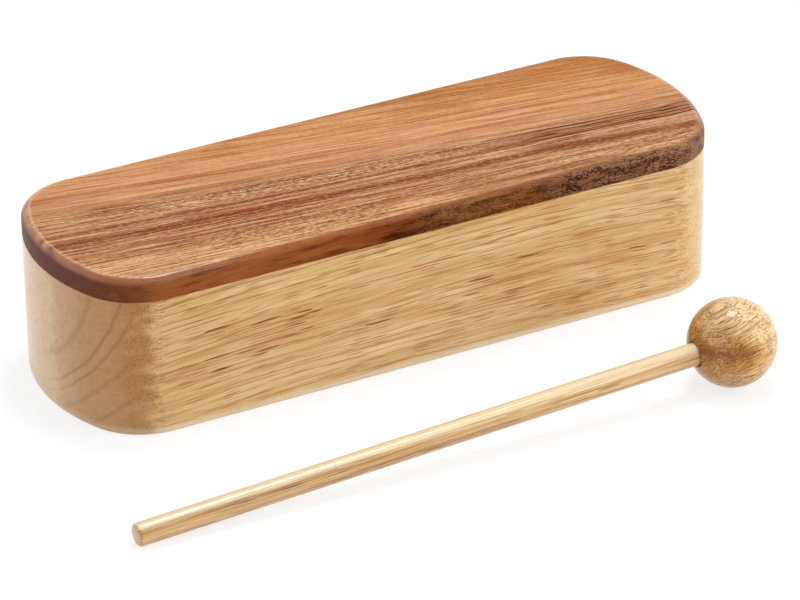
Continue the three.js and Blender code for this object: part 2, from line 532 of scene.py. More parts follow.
def shaft_profile():
    butt = [
        (shaft_butt + BUTT_ROUND * (1 - cos(turn)), SHAFT_RADIUS - BUTT_ROUND * (1 - sin(turn)))
        for turn in quarter_turns()
    ]
    run = shaft_head - SHAFT_HEAD_CHAMFER - butt[-1][0]
    along = [(butt[-1][0] + run * i / SHAFT_STEPS, SHAFT_RADIUS) for i in range(1, SHAFT_STEPS + 1)]
    head = [(shaft_head, SHAFT_RADIUS - SHAFT_HEAD_CHAMFER), (shaft_head, 0)]
    return [(shaft_butt, 0), *butt, *along, *head]


def ball_profile():
    socket_radius = SHAFT_RADIUS + GLUE_GAP
    mouth_radius = socket_radius + SOCKET_EASE
    mouth_turn = asin(mouth_radius / BALL_RADIUS)
    mouth_x = -BALL_RADIUS * cos(mouth_turn)
    turns = [mouth_turn + (pi - mouth_turn) * i / BALL_STEPS for i in range(BALL_STEPS)]
    sphere = [(-BALL_RADIUS * cos(turn), BALL_RADIUS * sin(turn)) for turn in turns]
    socket = [(socket_bottom, 0), (socket_bottom, socket_radius), (mouth_x + SOCKET_EASE, socket_radius)]
    return [*socket, *sphere, (BALL_RADIUS, 0)]


print("profiles of", len(shaft_profile()), "and", len(ball_profile()), "points")

# %% [markdown]
# The beater rests as a real one does, on its ball and on the rounded rim of its butt, and that gives
# its tilt. One pose, with the tilt, a little swing and the ball's centre, lays both pieces down. The
# wood recipes use the same pose later.

# %% Lay the beater down
def resting_tilt():
    along = -shaft_butt - BUTT_ROUND
    across = SHAFT_RADIUS - BUTT_ROUND
    drop = BALL_RADIUS - BUTT_ROUND
    return asin(drop / hypot(along, across)) - atan2(across, along)


ball_centre = Vector((ball_high.x - BALL_RADIUS, (ball_low.y + ball_high.y) / 2, BALL_RADIUS))
beater_pose = (
    Matrix.Translation(ball_centre)
    @ Matrix.Rotation(BEATER_SWING, 4, "Z")
    @ Matrix.Rotation(-resting_tilt(), 4, "Y")
)
shaft = turned("beater_dowel", shaft_profile())
ball = turned("beater_head", ball_profile())
for part in (shaft, ball):
    part.data.transform(beater_pose)
print("beater tilts", round(degrees(resting_tilt()), 2), "degrees")

# %% [markdown]
# ## Colours
# Tones are judged on a screen, so they are written as six-figure codes, two figures each for
# red, green and blue. Blender works with linear light, and one function turns a code into that.

# %% A tone from its code
def tone(code):
    """A colour from its six-figure code, as Blender's linear light."""
    parts = [int(code[i : i + 2], 16) / 255 for i in (0, 2, 4)]
    linear = [p / 12.92 if p <= 0.04045 else ((p + 0.055) / 1.055) ** 2.4 for p in parts]
    return (*linear, 1)


print("straw tone in linear light:", [round(part, 3) for part in tone("e3bc82")])

# %% [markdown]
# ## Short names for nodes
# A wood finish is a long chain of nodes, and most of them are plain sums with numbers and vectors.
# The class below adds such a node in one short call and returns its output, so that one sum can stand
# inside another, as on paper.

# %% Sums made of nodes
class Sums:
    def fill(self, node, inputs):
        """Links or sets a node's inputs, given by name or by number."""
        for key, value in inputs.items():
            if isinstance(value, bpy.types.NodeSocket):
                self.tree.links.new(value, node.inputs[key])
            else:
                node.inputs[key].default_value = value

    def add(self, kind, inputs=None, **settings):
        node = self.tree.nodes.new("ShaderNode" + kind)
        for name, value in settings.items():
            setattr(node, name, value)
        self.fill(node, inputs or {})
        return node

    def math(self, operation, *values, clamp=False):
        inputs = dict(enumerate(values))
        return self.add("Math", inputs, operation=operation, use_clamp=clamp).outputs[0]

    def times(self, first, second, clamp=False):
        return self.math("MULTIPLY", first, second, clamp=clamp)

    def plus(self, first, second, clamp=False):
        return self.math("ADD", first, second, clamp=clamp)

    def minus(self, first, second):
        return self.math("SUBTRACT", first, second)

    def larger(self, first, second):
        return self.math("MAXIMUM", first, second)

    def apart(self, first, second):
        return self.math("ABSOLUTE", self.minus(first, second))

    def vector(self, operation, first, second=None, scale=None):
        inputs = {0: first}
        if second is not None:
            inputs[1] = second
        if scale is not None:
            inputs["Scale"] = scale
        return self.add("VectorMath", inputs, operation=operation).outputs["Vector"]

    def length(self, vector):
        return self.add("VectorMath", {0: vector}, operation="LENGTH").outputs["Value"]

    def split(self, vector):
        node = self.add("SeparateXYZ", {"Vector": vector})
        return node.outputs["X"], node.outputs["Y"], node.outputs["Z"]

    def join(self, x, y, z):
        return self.add("CombineXYZ", {"X": x, "Y": y, "Z": z}).outputs["Vector"]


print("sums with", len([name for name in vars(Sums) if not name.startswith("_")]), "short names")

# %% [markdown]
# ## A recipe for wood
# Most links of the chain repeat: stretch a pattern along the grain, turn it into a mask, lay a colour
# over another. With a short name for each, a finish reads like a recipe. The patterns live in the
# solid, measured in millimetres, so the figure runs on from face to face and the ends show end
# grain, as in real wood.

# %% The recipe
MIX_FACTOR, MIX_A, MIX_B, MIX_RESULT = 0, 6, 7, 2  # a colour mix node's sockets


class Recipe(Sums):
    def __init__(self, name, pose=None):
        self.finish = bpy.data.materials.new(name)
        self.finish.use_nodes = True
        self.tree = self.finish.node_tree
        self.tree.nodes.clear()
        place = self.add("TexCoord").outputs["Object"]
        self.normal = self.add("TexCoord").outputs["Normal"]
        if pose:
            turn = pose.to_euler()
            laid = {"Vector": place, "Location": pose.to_translation(), "Rotation": turn}
            place = self.add("Mapping", laid, vector_type="TEXTURE").outputs[0]
            faced = {"Vector": self.normal, "Rotation": turn}
            self.normal = self.add("Mapping", faced, vector_type="TEXTURE").outputs[0]
        self.place = self.vector("SCALE", place, scale=1 / MM)

    def noise(self, vector, detail=2.0, roughness=0.5):
        inputs = {"Vector": vector, "Scale": 1.0, "Detail": detail, "Roughness": roughness}
        return self.add("TexNoise", inputs).outputs["Fac"]

    def fade(self, value, start, end, low=0.0, high=1.0):
        """Goes smoothly from low to high while value goes from start to end."""
        inputs = {"Value": value, "From Min": start, "From Max": end, "To Min": low, "To Max": high}
        return self.add("MapRange", inputs, interpolation_type="SMOOTHSTEP").outputs["Result"]

    def between(self, value, start, end, soft):
        """1 from start to end, with soft edges."""
        rise = self.fade(value, start - soft, start + soft)
        return self.times(rise, self.fade(value, end + soft, end - soft))

    def mix(self, factor, first, second):
        node = self.add("Mix", None, data_type="RGBA")
        self.fill(node, {MIX_FACTOR: factor, MIX_A: first, MIX_B: second})
        return node.outputs[MIX_RESULT]

    def over(self, colour, code, mask):
        """Lays one tone over the colour, as strongly as the mask says."""
        return self.mix(mask, colour, tone(code))

    def bands(self, value, stops):
        """A ramp of colours, each at its own place along the value."""
        low, high = stops[0][0], stops[-1][0]
        scaled = self.add("MapRange", {"Value": value, "From Min": low, "From Max": high}).outputs["Result"]
        node = self.add("ValToRGB", {"Fac": scaled})
        ramp = node.color_ramp
        ramp.interpolation = "EASE"
        while len(ramp.elements) < len(stops):
            ramp.elements.new(1.0)
        for element, (where, code) in zip(ramp.elements, stops):
            element.position = (where - low) / (high - low)
            element.color = tone(code)
        return node.outputs["Color"]


def dress(piece, finish):
    """Puts a finish on a piece and tells how large it is."""
    piece.data.materials.append(finish)
    print(piece.name, "wears", finish.name, "made of", len(finish.node_tree.nodes), "nodes")


print("a recipe is measured in units of", MM, "m")

# %% [markdown]
# ## Bending the grain
# Grain is never quite straight. Before a pattern is laid, the grain's coordinates are stretched,
# because all figure is long and thin, and pushed sideways by a coarse noise. What is laid on the
# pushed grain bends together, as it does in a board. A shift gives a second pattern of the same kind.

# %% Stretch, shift and wander
def stretch(wood, grain, along, across):
    return wood.vector("MULTIPLY", grain, (1 / along, 1 / across, 1 / across))


def shifted(wood, grain, offset):
    return wood.vector("ADD", grain, (offset, offset, offset))


def wander(wood, grain, along, across, reach):
    """Bends the grain sideways by up to reach, so that no line is quite straight."""
    coarse = stretch(wood, grain, along, across)
    push = wood.add("TexNoise", {"Vector": coarse, "Scale": 1.0, "Detail": 1.0}).outputs["Color"]
    centred = wood.vector("SUBTRACT", push, (0.5, 0.5, 0.5))
    sideways = wood.vector("MULTIPLY", centred, (0, 2, 2))
    return wood.vector("ADD", grain, wood.vector("SCALE", sideways, scale=reach))


print("the grain can be stretched, shifted and bent")

# %% [markdown]
# ## Fibres, pores and growth lines
# Three things make wood look like wood from near. Fibres are fine lighter and darker lines, and they
# come from a noise stretched along the grain. Pores are small dark dashes where a vessel was cut
# open lengthwise. Each cell of a stretched cell pattern holds one, of its own size, and many hold
# none. Where the surface cuts the vessels across, the same cells show as specks. Growth lines are
# the thin dark edges between layers, and a noise breaks them up.

# %% Fibres, pores and growth lines
PORE_EDGE = 11.0  # how crisply a pore ends
FULL_SIZE_AT = 5.0  # how soon a lucky cell's pore has its full size
SWAY = 2.6  # how far growth lines swing, in line spacings
SWAY_ACROSS = 5.0  # how wide such a swing is, in line spacings
BREAK_ALONG, BREAK_ACROSS = 20.0, 1.1  # the size of the gaps in a growth line


def pores(wood, grain, along, across, size, share):
    """A mask of dashes. share is the part of the cells that hold one, and may be a pattern."""
    cells = wood.add("TexVoronoi", {"Vector": stretch(wood, grain, along, across), "Scale": 1.0})
    luck = wood.split(cells.outputs["Color"])[0]
    chance = wood.plus(wood.minus(luck, 1.0), share)
    grown = wood.times(chance, FULL_SIZE_AT, clamp=True)
    inside = wood.minus(wood.times(grown, size), cells.outputs["Distance"])
    return wood.times(inside, PORE_EDGE, clamp=True)


def fibre_lines(wood, grain, along, across):
    """Two masks of thin broken lines along the grain: the dark ones and the light ones."""
    pattern = wood.noise(stretch(wood, grain, along, across), detail=3.0, roughness=0.65)
    return wood.fade(pattern, 0.48, 0.36), wood.fade(pattern, 0.52, 0.64)


def growth_lines(wood, grain, way, spacing, along, width):
    """Thin dark lines between growth layers, stacked the given way, wavy and broken along the grain."""
    steps = {0: grain, 1: [part / spacing for part in way]}
    height = wood.add("VectorMath", steps, operation="DOT_PRODUCT").outputs["Value"]
    sway = wood.noise(stretch(wood, grain, along, SWAY_ACROSS * spacing), detail=1.0)
    layer = wood.math("FRACT", wood.math("MULTIPLY_ADD", sway, SWAY, height))
    line = wood.fade(wood.apart(layer, 0.5), width, 0.2 * width)
    broken = wood.noise(stretch(wood, shifted(wood, grain, 5.0), BREAK_ALONG, BREAK_ACROSS), detail=1.0)
    return wood.times(line, wood.fade(broken, 0.42, 0.56))


print("a growth line swings by", SWAY, "spacings and breaks every", BREAK_ALONG, "mm or so")

# %% [markdown]
# ## Varnish
# Clear varnish sinks a little into the pores, so the wood below it keeps a fine relief while the
# varnish itself lies smooth. A rough base under a clear coat gives just that: a quiet body colour
# with a small highlight on top. The coat's fixed numbers go straight onto the shader's own sockets.

# %% Varnish
def lacquer(wood, colour, relief, rough, coat, coat_rough, coat_ior, specular):
    """Ends a recipe: the relief, in mm, shapes the wood, and the coat lies smooth over it."""
    bump = wood.add("Bump", {"Height": relief, "Strength": 1.0, "Distance": 1 * MM})
    inputs = {"Base Color": colour, "Roughness": rough, "Normal": bump.outputs["Normal"]}
    shader = wood.add("BsdfPrincipled", {**inputs, "Coat Weight": coat})
    shader.inputs["Specular IOR Level"].default_value = specular
    shader.inputs["Coat Roughness"].default_value = coat_rough
    shader.inputs["Coat IOR"].default_value = coat_ior
    wood.add("OutputMaterial", {"Surface": shader.outputs["BSDF"]})
    return wood.finish


def pore_relief(wood, open_pores, dark, depth):
    """Pores sink in by the given depth in mm, and dark fibres by a third of it."""
    return wood.times(wood.plus(open_pores, wood.times(dark, 0.3)), -depth)


print("varnish lies over a relief in units of", MM, "m")

# %% [markdown]
# ## Wood of the body
# The body is pale straw-coloured rubberwood. Its layers bow a little, highest right of the middle,
# and wander more towards the right. Many things on it depend on the place: the ends are cut across
# the grain, and the left end differs from the right. Masks for these places are worked out once,
# from the position and the way the surface faces.

# %% Grain and places of the body
BOW_TOP = 10.0  # where along the block the grain lies highest
BOW = 0.00035  # how fast it falls towards the ends


def body_grain(wood):
    x, y, z = wood.split(wood.place)
    from_top = wood.minus(x, BOW_TOP)
    bow = wood.times(wood.times(from_top, from_top), BOW)
    grain = wander(wood, wood.join(x, y, wood.plus(z, bow)), 60.0, 24.0, 1.0)
    return wander(wood, grain, 11.0, 4.0, wood.fade(x, 20.0, 80.0, 0.15, 0.4))


def body_places(wood, grain):
    x, y, z = wood.split(wood.place)
    facing_end = wood.math("ABSOLUTE", wood.split(wood.normal)[0])
    left = wood.fade(x, -60.0, 60.0, 1.0, 0.0)
    crowd = wood.noise(stretch(wood, shifted(wood, grain, 40.0), 40.0, 5.0), detail=1.0)
    turned_left = wood.times(wood.fade(facing_end, 0.22, 0.42), left)
    long_faces = wood.times(wood.fade(facing_end, 0.5, 0.9, 1.0, 0.0), wood.minus(1.0, turned_left))
    near_corner = wood.times(wood.fade(facing_end, 0.2, 0.34), wood.fade(facing_end, 0.8, 0.5))
    return SimpleNamespace(
        x=x,
        y=y,
        z=z,
        left=left,
        crowd=crowd,
        facing_end=facing_end,
        long_faces=long_faces,
        middle=wood.between(wood.split(grain)[2], 19.0, 36.0, 5.0),
        end_grain=wood.fade(wood.plus(facing_end, wood.times(crowd, 0.25)), 0.34, 0.54),
        near_corner=wood.times(near_corner, wood.fade(y, 30.0, 0.0, 0.3, 1.0)),
        right_end=wood.times(wood.fade(facing_end, 0.8, 0.97), wood.fade(x, 0.0, 60.0)),
    )


print("the body's grain is highest at", BOW_TOP, "mm")

# %% [markdown]
# The ground of the body is broad: years that differ a little in tone, a browner belt along the
# middle of the height, and soft clouds, both darker and lighter. Real straw-coloured wood looks
# flat without these, however many fine lines lie on top.

# %% Ground tones of the body
YEAR_TONES = [(0.3, "eac78f"), (0.5, "e3bc82"), (0.7, "d8ab6c")]


def straw_ground(wood, grain, at):
    years = wood.noise(stretch(wood, grain, 120.0, 4.0))
    colour = wood.bands(years, YEAR_TONES)
    patches = wood.noise(stretch(wood, grain, 90.0, 7.0), detail=1.0)
    blush = wood.plus(wood.times(at.middle, 0.3), wood.fade(patches, 0.42, 0.66, 0.0, 0.4))
    colour = wood.over(colour, "cc9656", blush)
    clouds = wood.noise(stretch(wood, shifted(wood, grain, 90.0), 26.0, 2.4))
    colour = wood.over(colour, "bf8848", wood.fade(clouds, 0.5, 0.72, 0.0, 0.48))
    return wood.over(colour, "f4d59e", wood.fade(clouds, 0.46, 0.3, 0.0, 0.4))


print("the body's ground has", len(YEAR_TONES), "tones of years")

# %% [markdown]
# On the long faces lie fibres, then growth lines, then pores of two sizes. The bold pores come in
# groups: by a slow noise, more of them along the middle, and one dense group left of the middle of
# the front. Where the wood is cut across, none of these show as lines.

# %% Lines and pores of the body
FINE_PORE = (12.0, 0.55)  # the length and width of the cell that holds a fine pore
BOLD_PORE = (20.0, 1.05)


def body_lines(wood, grain, at, colour, dark, light):
    colour = wood.over(colour, "b57c3a", wood.times(dark, 0.34))
    colour = wood.over(colour, "f6dca6", wood.times(light, 0.36))
    growth = growth_lines(wood, grain, (0, 0.6, 1), 2.1, 110.0, 0.12)
    other_growth = growth_lines(wood, shifted(wood, grain, 60.0), (0, 0.5, 1), 3.3, 140.0, 0.08)
    lines = wood.times(wood.larger(growth, other_growth), at.long_faces)
    grouped = wood.fade(at.crowd, 0.35, 0.6, 0.46, 0.74)
    return wood.over(colour, "a0560c", wood.times(lines, grouped))


def body_pores(wood, grain, at):
    fine = pores(wood, grain, *FINE_PORE, 0.36, wood.fade(at.crowd, 0.3, 0.6, 0.15, 0.65))
    dense_group = wood.times(
        wood.between(at.x, -80.0, -40.0, 8.0),
        wood.between(at.z, 18.0, 36.0, 4.0),
    )
    crowded = wood.times(wood.fade(at.crowd, 0.45, 0.62), wood.fade(at.middle, 0.0, 1.0, 0.2, 0.8))
    crowded = wood.larger(crowded, dense_group)
    bold = pores(wood, shifted(wood, grain, 17.0), *BOLD_PORE, 0.34, wood.times(crowded, 0.62))
    return wood.times(fine, at.long_faces), wood.times(bold, at.long_faces)


print("pores lie in cells of", FINE_PORE, "and", BOLD_PORE, "mm")

# %% [markdown]
# End grain drinks varnish and turns darker, most of all near the front. Towards the back of the left
# end the tones are painted paler, a painted reflection of the white studio seen at a grazing angle.
# The growth layers are shells round a heart that lies high at the back of the billet, so the end shows
# curved rings. A few rings, each with its own width and strength, look truer than many even ones.

# %% Rings and tones of the ends
PITH_Y, PITH_Z = 18.0, 65.0
# Each ring: its radius, half width and strength
END_RINGS = [(45.5, 1.8, 0.3), (54.3, 0.9, 0.5), (57.8, 0.8, 0.45), (64.0, 1.4, 0.3), (72.5, 1.2, 0.4)]
# The tones of the left end from front to back: darker end grain in front, then paler as painted reflection
END_BANDS_AND_PAINTED_SHEEN = [(-36.0, "c48d5e"), (-20.0, "c59060"), (-9.0, "cfa074"), (1.0, "e7c096"), (14.0, "edc39c")]


def end_rings(wood, grain, at):
    heart = wood.vector("MULTIPLY", wood.vector("SUBTRACT", grain, (0, PITH_Y, PITH_Z)), (0, 1, 1))
    waver = wood.noise(stretch(wood, grain, 9.0, 3.0), detail=3.0)
    radius = wood.math("MULTIPLY_ADD", waver, 1.0, wood.minus(wood.length(heart), 0.5))
    marks = 0.0
    for ring, half_width, strength in END_RINGS:
        mark = wood.fade(wood.apart(radius, ring), half_width, 0.1 * half_width, 0.0, strength)
        marks = wood.larger(marks, mark)
    marks = wood.times(marks, wood.fade(wood.split(grain)[1], 4.0, -20.0, 0.3, 1.0))
    on_left = wood.times(wood.fade(at.facing_end, 0.3, 0.7), at.left)
    return wood.times(marks, wood.plus(on_left, wood.times(at.right_end, 0.6)))


def end_tones(wood, grain, at, colour):
    # Painted reflection: the left end turns paler towards the back; the darker front is the end grain's own
    # tone
    drink_and_painted_sheen = wood.bands(wood.math("MULTIPLY_ADD", at.crowd, 8.0, at.y), END_BANDS_AND_PAINTED_SHEEN)
    colour = wood.mix(wood.times(at.end_grain, wood.times(at.left, 0.85)), colour, drink_and_painted_sheen)
    left_end = wood.times(at.end_grain, at.left)
    mottle = wood.noise(stretch(wood, wood.place, 6.0, 2.2), detail=3.0)
    colour = wood.over(colour, "ad7a4c", wood.times(wood.fade(mottle, 0.5, 0.7, 0.0, 0.3), left_end))
    # Partly painted light: the right end's grain is paler, and is made paler still for the lamp on the right
    pale_right_and_painted_light = wood.times(at.end_grain, wood.fade(at.x, 60.0, 105.0))
    colour = wood.over(colour, "ecc98f", wood.times(pale_right_and_painted_light, 0.45))
    return wood.over(colour, "9a6236", end_rings(wood, grain, at))


print("the end shows", len(END_RINGS), "rings round a heart", PITH_Z, "mm up")

# %% [markdown]
# Where the front turns into the left end, the cut slants through the vessels. That strip is amber
# and full of specks. Low on the end and round the foot the colour is painted paler, as painted
# bounce light from the white floor.

# %% The turned corner and the foot
FOOT_HEIGHT = 4.0


def corner_tones(wood, at, colour, specks):
    amber = wood.times(at.left, wood.fade(at.crowd, 0.3, 0.55))
    amber = wood.times(wood.times(at.near_corner, 0.65), amber)
    colour = wood.over(colour, "b67e3e", amber)
    return wood.over(colour, "7e4810", wood.times(specks, 0.65))


def corner_specks(wood, grain, at):
    share = wood.fade(at.crowd, 0.35, 0.6, 0.5, 1.0)
    specks = pores(wood, shifted(wood, grain, 3.0), 1.1, 0.5, 0.38, share)
    speckled = wood.plus(wood.times(at.near_corner, at.left), wood.times(at.right_end, 0.5))
    return wood.times(specks, speckled)


def painted_floor_bounce(wood, at, colour):
    # Painted bounce: paler low on the left end, as if lit from the floor
    painted_low_end_bounce = wood.times(wood.fade(at.z, 24.0, 4.0, 0.0, 0.45), wood.times(at.end_grain, at.left))
    painted_low_end_bounce = wood.times(painted_low_end_bounce, wood.fade(at.y, -22.0, 0.0, 0.2, 1.0))
    colour = wood.over(colour, "f8dcae", painted_low_end_bounce)
    # Painted bounce: a paler band round the foot, as if lit from the floor
    foot = wood.fade(at.z, FOOT_HEIGHT, 1.4, 0.0, 0.7)
    foot = wood.times(foot, wood.fade(at.end_grain, 0.0, 1.0, 1.0, 0.5))
    return wood.over(colour, "fdeac6", foot)


print("the foot is paler up to", FOOT_HEIGHT, "mm")

# %% [markdown]
# Inside the chamber the wood is raw: paler, rough, without varnish and with fine marks from the
# cutter. A mask built from the pocket's own sizes finds these walls, so it follows the shape.

# %% Raw wood in the chamber
MARK_TURNS = 2.2  # how close the cutter's marks lie, in radians for each mm


def inside_chamber(wood, at):
    """1 on the raw milled walls and floor of the chamber."""
    half, floor_height = chamber_half / MM, chamber_floor / MM
    inner = wood.fade(wood.math("ABSOLUTE", at.x), half + 0.6, half + 0.3)
    inner = wood.times(inner, wood.fade(at.z, floor_height - 0.3, floor_height - 0.1))
    deep = wood.fade(at.y, chamber_front / MM - 0.6, chamber_front / MM - 0.2)
    deep = wood.times(deep, wood.fade(at.y, block_back / MM - 0.2, block_back / MM - 1.0))
    return wood.times(inner, deep)


def cutter_marks(wood, at, raw):
    marks = wood.math("SINE", wood.times(at.y, MARK_TURNS))
    return wood.times(marks, wood.times(raw, 0.03))


print("raw walls from", round(chamber_floor / MM, 1), "mm up")

# %% [markdown]
# Now the body's finish comes together, from the ground up: straw, lines, pores, ends, corner, the
# painted floor bounce at the foot, and the raw chamber last. Its varnish is thin and satin, and there
# is none in the chamber.

# %% Body finish
def body_wood():
    wood = Recipe("pale_rubberwood")
    grain = body_grain(wood)
    at = body_places(wood, grain)
    dark, light = fibre_lines(wood, grain, 21.0, 0.4)
    fine, bold = body_pores(wood, grain, at)
    specks = corner_specks(wood, grain, at)
    raw = inside_chamber(wood, at)

    colour = body_lines(wood, grain, at, straw_ground(wood, grain, at), dark, light)
    colour = wood.over(colour, "8e4c10", wood.times(fine, 0.6))
    colour = wood.over(colour, "7c3a04", wood.times(bold, 0.95))
    colour = corner_tones(wood, at, end_tones(wood, grain, at, colour), specks)
    colour = wood.over(painted_floor_bounce(wood, at, colour), "e9cfa4", wood.times(raw, 0.6))

    open_pores = wood.larger(wood.larger(wood.times(fine, 0.5), bold), specks)
    relief = wood.plus(pore_relief(wood, open_pores, dark, 0.02), cutter_marks(wood, at, raw))
    rough = wood.plus(wood.fade(light, 0.0, 1.0, 0.45, 0.36), wood.times(raw, 0.4))
    coat = wood.fade(raw, 0.0, 0.5, 0.9, 0.0)
    return lacquer(wood, colour, relief, rough, coat, coat_rough=0.2, coat_ior=1.32, specular=0.1)


dress(body, body_wood())

# %% [markdown]
# ## Wood of the striking plate
# The plate comes from a streaked tropical board. Its figure drifts towards the front from left to
# right, so every band and streak is placed across the drifting figure and not across the plate. The
# figure also slants with depth, so that it runs on round the edge. It is calmer on the ends and
# down the side than on the flat top.

# %% Grain and places of the plate
DRIFT = 0.1175  # how far the figure drifts to the front, in mm for each mm to the right
DRIFT_SPREAD = 0.0015  # how much more it drifts with each mm towards the back
SLANT = 0.8  # how far the figure moves across with each mm of depth


def plate_places(wood):
    grain = wander(wood, wood.place, 80.0, 30.0, 1.0)
    grain = wander(wood, grain, 18.0, 5.0, 0.22)
    x, y, z = wood.split(grain)
    px, py, pz = wood.split(wood.place)
    drift = wood.times(x, wood.math("MULTIPLY_ADD", y, DRIFT_SPREAD, DRIFT))
    depth = wood.minus(TOP_HEIGHT / MM, pz)
    across = wood.plus(wood.plus(y, drift), wood.times(depth, SLANT))
    facing_end = wood.math("ABSOLUTE", wood.split(wood.normal)[0])
    calm = wood.times(wood.fade(facing_end, 0.15, 0.5, 1.0, 0.15), wood.fade(depth, 0.3, 1.5, 1.0, 0.6))
    flat = wood.plus(wood.fade(depth, 0.5, 0.02), wood.fade(px, -60.0, 40.0, 0.0, 0.6), clamp=True)
    figure = wood.join(x, across, z)
    return SimpleNamespace(
        px=px,
        py=py,
        depth=depth,
        x=x,
        across=across,
        figure=figure,
        curly=wander(wood, figure, 5.0, 2.0, 0.5),
        calm=calm,
        flat=wood.times(flat, calm),
        front=wood.fade(across, 5.0, -4.0),
        left_end=wood.fade(px, -98.0, -107.0),
    )


print("over the block's length the figure drifts by", round(DRIFT * BLOCK_LENGTH / MM, 1), "mm")

# %% [markdown]
# The top's ground goes by bands, from front to back: a tan front, a browner middle and a smooth,
# orange rear. Three corners have a tone of their own, and thin sheets of darker and lighter wood
# run through all of it. The places are listed one by one.

# %% Ground tones of the top
TOP_BANDS = [
    (-45.0, "d29666"),
    (-34.0, "d59a6a"),
    (-27.0, "be835a"),
    (-20.0, "ba815a"),
    (-13.0, "c48a64"),
    (-6.0, "b9805b"),
    (0.0, "bb825b"),
    (6.0, "cc9066"),
    (14.0, "d89a6b"),
    (27.0, "d69965"),
    (34.0, "cb8a57"),
    (42.0, "b97742"),
    (50.0, "a8642e"),
]
# Each corner: from where to where it grows along the grain, how strong it gets, from where to where
# it grows across the grain, and its tone
CORNERS = [
    ((0.0, 60.0), 0.22, (-8.0, -13.0), "d8b086"),
    ((10.0, 80.0), 0.45, (16.0, 30.0), "c67c34"),
    ((-20.0, -80.0), 0.35, (-28.0, -35.0), "f0c08e"),
]


def top_ground(wood, at):
    colour = wood.bands(at.across, TOP_BANDS)
    for along, strength, across, code in CORNERS:
        corner = wood.times(wood.fade(at.x, *along, 0.0, strength), wood.fade(at.across, *across))
        colour = wood.over(colour, code, corner)
    sheets = wood.noise(stretch(wood, shifted(wood, at.figure, 30.0), 70.0, 2.2))
    colour = wood.over(colour, "a8602c", wood.fade(sheets, 0.5, 0.68, 0.0, 0.4))
    return wood.over(colour, "f0be8c", wood.fade(sheets, 0.46, 0.3, 0.0, 0.4))


print("the top has", len(TOP_BANDS), "bands and", len(CORNERS), "corners")

# %% [markdown]
# Over the ground lie the fibres and growth lines, stronger in the front, and then the streaks. A
# streak is a soft stripe with a dark middle. It may lean against the figure, and it is strong only
# along a part of the plate. One stretched noise breaks up all of them.

# %% Lines and streaks of the top
# Each streak: its place across the grain, how it leans in 100 mm, its half width, its strength and
# where along the grain it is strong
STREAKS = [
    (23.3, 1.0, 1.6, 0.45, -60.0, 70.0),
    (18.8, 0.0, 2.0, 0.6, 30.0, 100.0),
    (11.4, 1.0, 2.6, 0.5, -135.0, 10.0),
    (2.5, 0.0, 1.0, 0.4, -135.0, -40.0),
    (-9.7, 1.8, 1.2, 1.0, -140.0, 45.0),
    (-13.2, 0.0, 0.7, 0.5, -100.0, -30.0),
    (-15.9, 0.0, 0.7, 0.8, -100.0, -10.0),
    (-17.5, 0.0, 2.6, 1.0, -140.0, 30.0),
    (-17.1, 0.0, 2.8, 1.0, 22.0, 78.0),
    (-10.3, -10.0, 4.6, 1.0, 52.0, 135.0),
    (-19.2, 0.0, 0.6, 0.8, -110.0, -10.0),
    (-21.0, 0.0, 0.8, 0.7, -105.0, -30.0),
    (-23.0, 2.0, 1.0, 0.85, -95.0, 15.0),
    (-26.0, 0.0, 2.0, 0.35, 20.0, 110.0),
    (-28.2, 3.2, 2.0, 0.5, -90.0, 30.0),
    (-32.0, 0.0, 2.8, 0.85, 15.0, 66.0),
]
STREAK_END = 15.0  # over how many mm a streak begins and ends
FRONT_STREAK, REAR_STREAK = "7c300c", "9c5220"


def stripe(wood, across, place, half_width):
    return wood.fade(wood.apart(across, place), half_width, 0.15 * half_width)


def top_lines(wood, at, colour, dark, light):
    colour = wood.over(colour, "6c2c0c", wood.times(dark, wood.fade(at.front, 0.0, 1.0, 0.45, 0.9)))
    colour = wood.over(colour, "f4ca9c", wood.times(light, wood.fade(at.front, 0.0, 1.0, 0.4, 0.6)))
    growth = growth_lines(wood, at.figure, (0, 1, 0.6), 1.9, 110.0, 0.13)
    growth = wood.times(growth, wood.fade(at.front, 0.0, 1.0, 0.4, 0.9))
    return wood.over(colour, "64280a", wood.times(growth, at.flat))


def top_streaks(wood, at, colour):
    broken = wood.noise(stretch(wood, at.figure, 18.0, 1.0))
    broken = wood.fade(broken, 0.3, 0.6, 0.55, 0.9)
    for place, lean, half_width, strength, start, end in STREAKS:
        straight = wood.math("MULTIPLY_ADD", at.x, -lean / 100, at.across)
        mask = stripe(wood, straight, place, half_width)
        mask = wood.times(mask, wood.between(at.x, start, end, STREAK_END))
        mask = wood.times(wood.times(mask, strength), broken)
        colour = wood.over(colour, FRONT_STREAK if place < 0 else REAR_STREAK, mask)
    return colour


print("the top has", len(STREAKS), "streaks")

# %% [markdown]
# In the front the grain of such a board is busy: short wavy dents and crests that lie close
# together. They are a stretched noise on a grain that is bent once more. A mask says where they are
# strong, because the rear of the plate stays smooth.

# %% The busy front
BUSY_START, BUSY_END = -72.0, -10.0  # where along the grain the strip at the front is busy


def busy_places(wood, at):
    front_left = wood.times(
        wood.between(at.across, -38.0, -27.0, 3.0),
        wood.between(at.x, BUSY_START, BUSY_END, 12.0),
    )
    front_right = wood.times(wood.fade(at.across, -19.0, -23.0), wood.fade(at.x, 30.0, 60.0, 0.0, 0.7))
    middle = wood.times(
        wood.between(at.across, -9.0, -1.0, 2.5),
        wood.fade(at.x, -105.0, -70.0, 0.3, 1.0),
    )
    middle = wood.times(middle, wood.fade(at.x, 20.0, 60.0, 1.0, 0.3))
    busy = wood.larger(wood.larger(front_left, front_right), middle)
    busy = wood.larger(busy, wood.times(at.front, 0.4))
    return wood.times(busy, at.flat)


